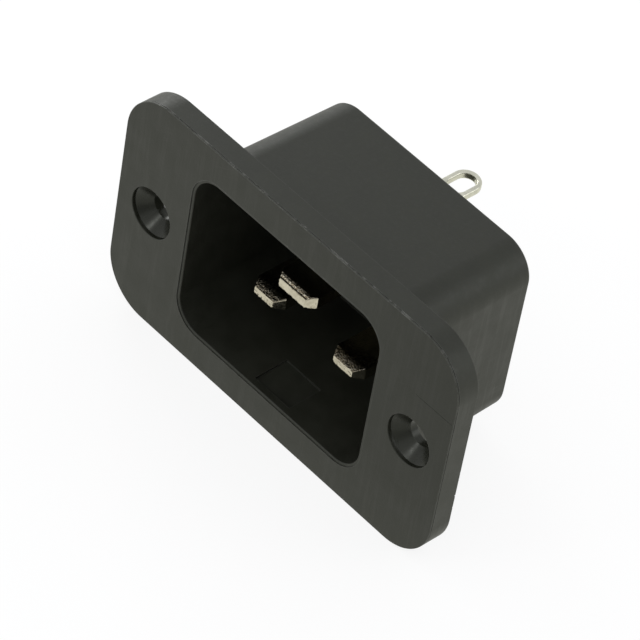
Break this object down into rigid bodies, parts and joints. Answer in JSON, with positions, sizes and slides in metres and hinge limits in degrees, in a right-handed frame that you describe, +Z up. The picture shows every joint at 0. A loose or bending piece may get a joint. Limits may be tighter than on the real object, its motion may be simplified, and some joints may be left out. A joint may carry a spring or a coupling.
{
  "type": "c20 panel inlet socket",
  "caption": "Flange-mounted power inlet: rectangular shrouded cavity with flat horizontal blades, countersunk screw ears and solder tails behind.",
  "frame": {"origin": "centre of the flange's mounting face, midway between the two screw holes", "axes": "+X along the flange from the line blade to the neutral blade, +Y into the panel towards the solder tails, +Z up towards the earth blade; the plug enters along +Y"},
  "size_m": [0.0504, 0.0273, 0.0296],
  "materials": {
    "moulding": "black glass-filled thermoplastic, finely textured, satin where moulded smooth",
    "contact": "brass strip, bright nickel plate"
  },
  "bodies": {
    "root": {"housing": "moulding", "line_blade": "contact", "neutral_blade": "contact", "earth_blade": "contact"}
  },
  "joints": []
}
